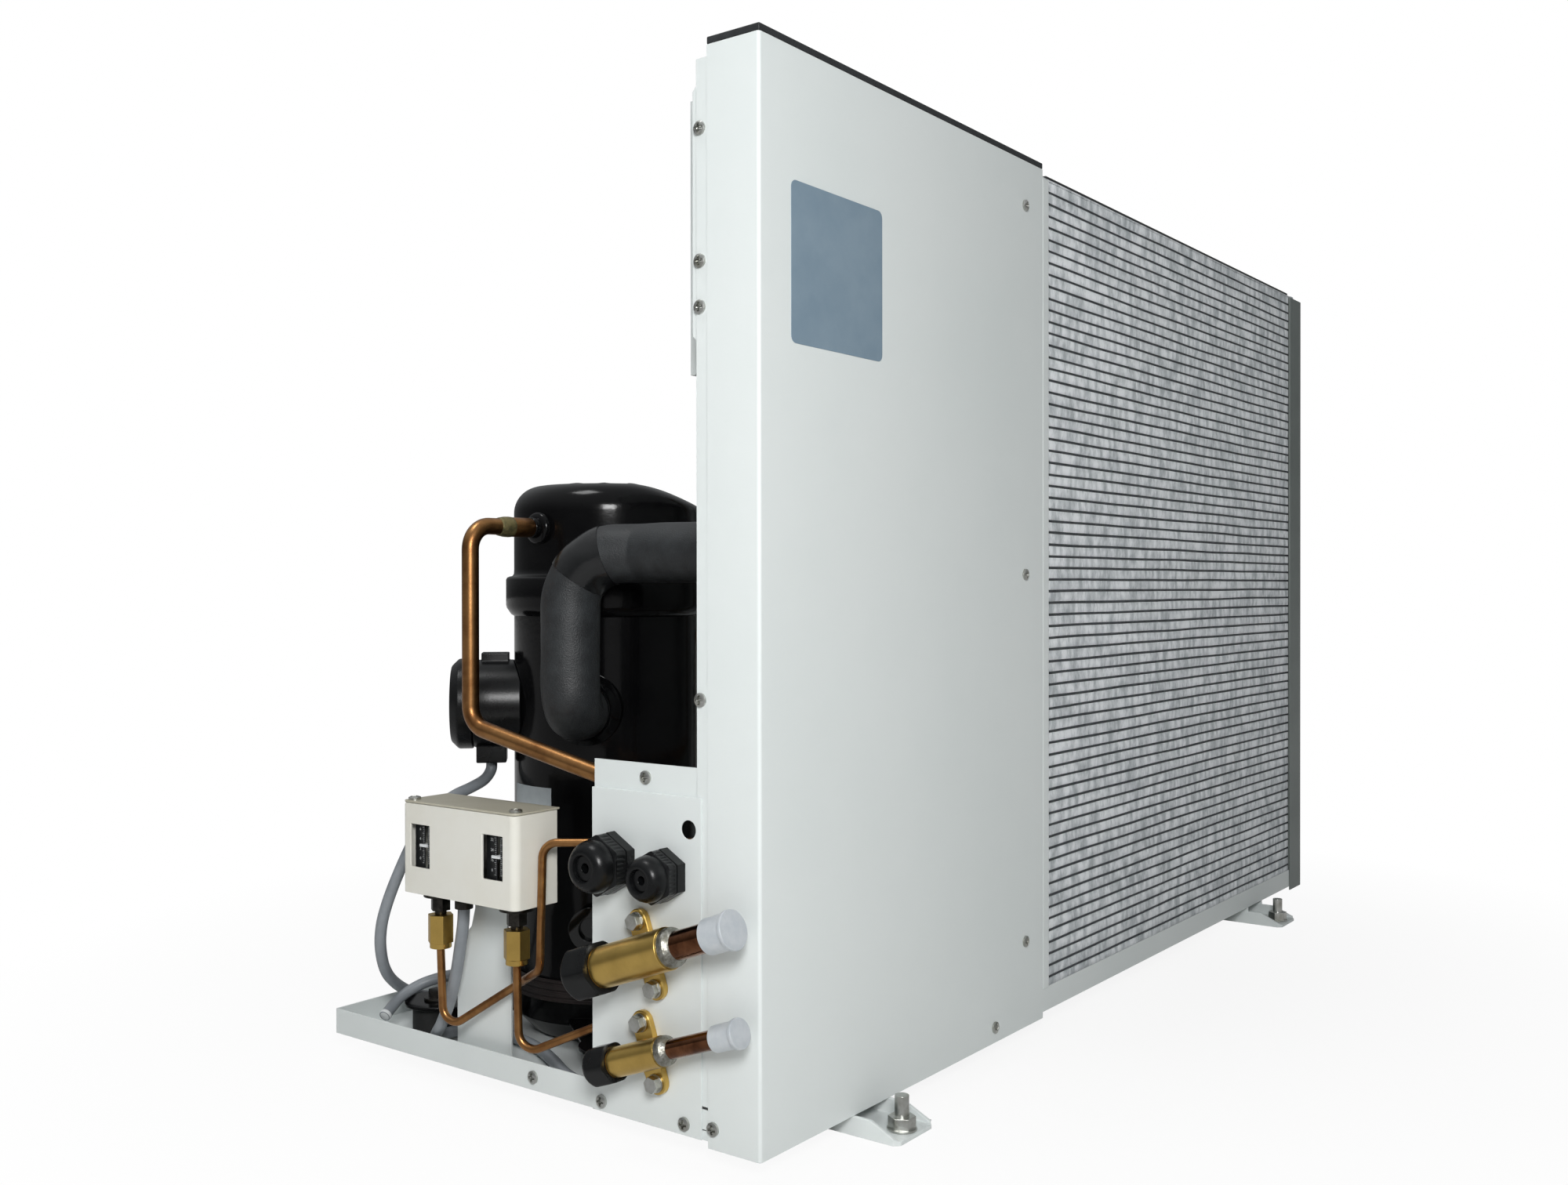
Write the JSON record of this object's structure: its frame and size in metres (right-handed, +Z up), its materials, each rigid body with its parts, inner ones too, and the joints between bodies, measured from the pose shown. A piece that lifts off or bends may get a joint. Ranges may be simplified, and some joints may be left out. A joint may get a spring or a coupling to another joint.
{
  "type": "condensing unit",
  "caption": "Open air-cooled condensing unit: hermetic compressor, receiver, coil and fan on a steel tray, with service valves, pressure switch and cable glands.",
  "frame": {"origin": "on the ground under the middle of the unit's box, without its free cables", "axes": "+X along the coil, away from the compressor end; -Y is the air inlet and coil side, +Y the fan side; +Z up"},
  "size_m": [1.1176, 0.506, 0.734],
  "materials": {
    "painted_sheet": "off-white powder coat",
    "zinc": "bright zinc plate",
    "foam": "matte black foam",
    "blank_plate": "plain printed film",
    "coil_aluminium": "bare brazed aluminium",
    "black_enamel": "glossy black enamel",
    "black_plastic": "moulded black plastic",
    "motor_grey": "grey painted casting",
    "control_plastic": "light grey moulding",
    "grommet_rubber": "matte rubber",
    "heater_silicone": "silicone belt",
    "steel": "turned steel",
    "iron": "machined casting",
    "copper": "dull copper",
    "brass": "forged brass",
    "clear_plug": "translucent plastic",
    "switch_cream": "cream moulding",
    "pointer_red": "painted pointer",
    "cable_grey": "satin cable sheath",
    "glass": "sight glass"
  },
  "bodies": {
    "frame": {"base_tray": "painted_sheet", "foot_channels": "painted_sheet", "foot_bolts": "zinc", "blank_panel": "painted_sheet", "inner_posts": "painted_sheet", "service_panel": "painted_sheet", "coil_end_post": "painted_sheet", "foam_seals": "foam", "panel_screws": "zinc", "label_plates": "blank_plate", "coil_core": "coil_aluminium", "coil_fins": "coil_aluminium", "fan_shroud": "painted_sheet", "fan_guard": "black_enamel", "fan_motor": "motor_grey", "electrical_box": "painted_sheet", "control_gear": "control_plastic", "compressor_shell": "black_enamel", "compressor_cap": "black_enamel", "compressor_base": "black_enamel", "compressor_grommets": "grommet_rubber", "hex_bolts": "zinc", "crankcase_heater": "heater_silicone", "terminal_box": "black_plastic", "motor_stator": "copper", "scroll_housing": "iron", "oil_sight_glass": "glass", "discharge_pipe": "copper", "inner_pipes": "copper", "suction_insulation": "foam", "receiver": "black_enamel", "valve_bodies": "brass", "valve_stubs": "copper", "gland_bodies": "black_plastic", "switch_bracket": "painted_sheet", "switch_base": "zinc", "flare_nuts": "brass", "switch_tubes": "copper", "compressor_cable": "cable_grey", "switch_cable": "cable_grey", "heater_cable": "cable_grey"},
    "fan": {"fan_rotor": "black_enamel"},
    "crankshaft": {"motor_rotor": "steel"},
    "scroll": {"orbiting_scroll": "iron"},
    "suction_cap": {"suction_valve_cap": "black_plastic"},
    "suction_stem": {"suction_valve_stem": "steel"},
    "suction_stub_plug": {"suction_plug": "clear_plug"},
    "liquid_cap": {"liquid_valve_cap": "black_plastic"},
    "liquid_stem": {"liquid_valve_stem": "steel"},
    "liquid_stub_plug": {"liquid_plug": "clear_plug"},
    "receiver_cap": {"receiver_valve_cap": "black_plastic"},
    "large_nut": {"large_gland_nut": "black_plastic"},
    "small_nut": {"small_gland_nut": "black_plastic"},
    "switch_front": {"switch_cover": "switch_cream"},
    "low_adjuster": {"low_spindle": "steel"},
    "high_adjuster": {"high_spindle": "steel"},
    "low_marker": {"low_pointer": "pointer_red"},
    "high_marker": {"high_pointer": "pointer_red"},
    "terminal_lid": {"terminal_box_cover": "black_plastic"},
    "box_lid": {"electrical_box_lid": "painted_sheet"}
  },
  "joints": [
    {"name": "fan_spin", "type": "hinge", "parent": "frame", "child": "fan", "pos_m": [0.20382, -0.067, 0.375], "axis": [0, 1, 0], "continuous": true},
    {"name": "crankshaft_spin", "type": "hinge", "parent": "frame", "child": "crankshaft", "pos_m": [-0.36518, 0.058, 0.15], "axis": [0, 0, 1], "continuous": true},
    {"name": "scroll_orbit", "type": "hinge", "parent": "crankshaft", "child": "scroll", "pos_m": [-0.36118, 0.058, 0.33], "axis": [0, 0, 1], "continuous": true},
    {"name": "suction_cap_off", "type": "slide", "parent": "frame", "child": "suction_cap", "axis": [0, 0.9397, -0.342], "range_m": [0, 0.03]},
    {"name": "suction_stem_turn", "type": "hinge", "parent": "frame", "child": "suction_stem", "pos_m": [-0.53918, -0.1245, 0.1335], "axis": [0, 0.9397, -0.342], "range_deg": [0, 2160]},
    {"name": "suction_plug_off", "type": "slide", "parent": "frame", "child": "suction_stub_plug", "axis": [0, -0.9397, 0.342], "range_m": [0, 0.035]},
    {"name": "liquid_cap_off", "type": "slide", "parent": "frame", "child": "liquid_cap", "axis": [0, 0.9397, -0.342], "range_m": [0, 0.025]},
    {"name": "liquid_stem_turn", "type": "hinge", "parent": "frame", "child": "liquid_stem", "pos_m": [-0.53518, -0.1265, 0.0685], "axis": [0, 0.9397, -0.342], "range_deg": [0, 2160]},
    {"name": "liquid_plug_off", "type": "slide", "parent": "frame", "child": "liquid_stub_plug", "axis": [0, -0.9397, 0.342], "range_m": [0, 0.035]},
    {"name": "receiver_cap_off", "type": "slide", "parent": "frame", "child": "receiver_cap", "axis": [0, 0, 1], "range_m": [0, 0.04]},
    {"name": "large_gland_turn", "type": "hinge", "parent": "frame", "child": "large_nut", "pos_m": [-0.51718, -0.092, 0.191], "axis": [1, 0, 0], "range_deg": [0, 1080]},
    {"name": "small_gland_turn", "type": "hinge", "parent": "frame", "child": "small_nut", "pos_m": [-0.51718, -0.1395, 0.188], "axis": [1, 0, 0], "range_deg": [0, 1080]},
    {"name": "switch_cover_off", "type": "slide", "parent": "frame", "child": "switch_front", "axis": [-1, 0, 0], "range_m": [0, 0.06]},
    {"name": "low_adjust", "type": "hinge", "parent": "frame", "child": "low_adjuster", "pos_m": [-0.52218, 0.0749, 0.187], "axis": [0, 0, 1], "range_deg": [-1800, 1800]},
    {"name": "high_adjust", "type": "hinge", "parent": "frame", "child": "high_adjuster", "pos_m": [-0.52218, -0.0026, 0.187], "axis": [0, 0, 1], "range_deg": [-1800, 1800]},
    {"name": "low_marker_travel", "type": "slide", "parent": "frame", "child": "low_marker", "axis": [0, 0, 1], "range_m": [-0.01, 0.01]},
    {"name": "high_marker_travel", "type": "slide", "parent": "frame", "child": "high_marker", "axis": [0, 0, 1], "range_m": [-0.01, 0.01]},
    {"name": "terminal_lid_off", "type": "slide", "parent": "frame", "child": "terminal_lid", "axis": [-0.7071, 0.7071, 0], "range_m": [0, 0.04]},
    {"name": "box_lid_off", "type": "slide", "parent": "frame", "child": "box_lid", "axis": [0, 1, 0], "range_m": [0, 0.06]}
  ],
  "couplings": [
    {"joint": "scroll_orbit", "follows": "crankshaft_spin", "ratio": -1},
    {"joint": "low_marker_travel", "follows": "low_adjust", "m_per_rad": 0.000318},
    {"joint": "high_marker_travel", "follows": "high_adjust", "m_per_rad": 0.000318}
  ]
}
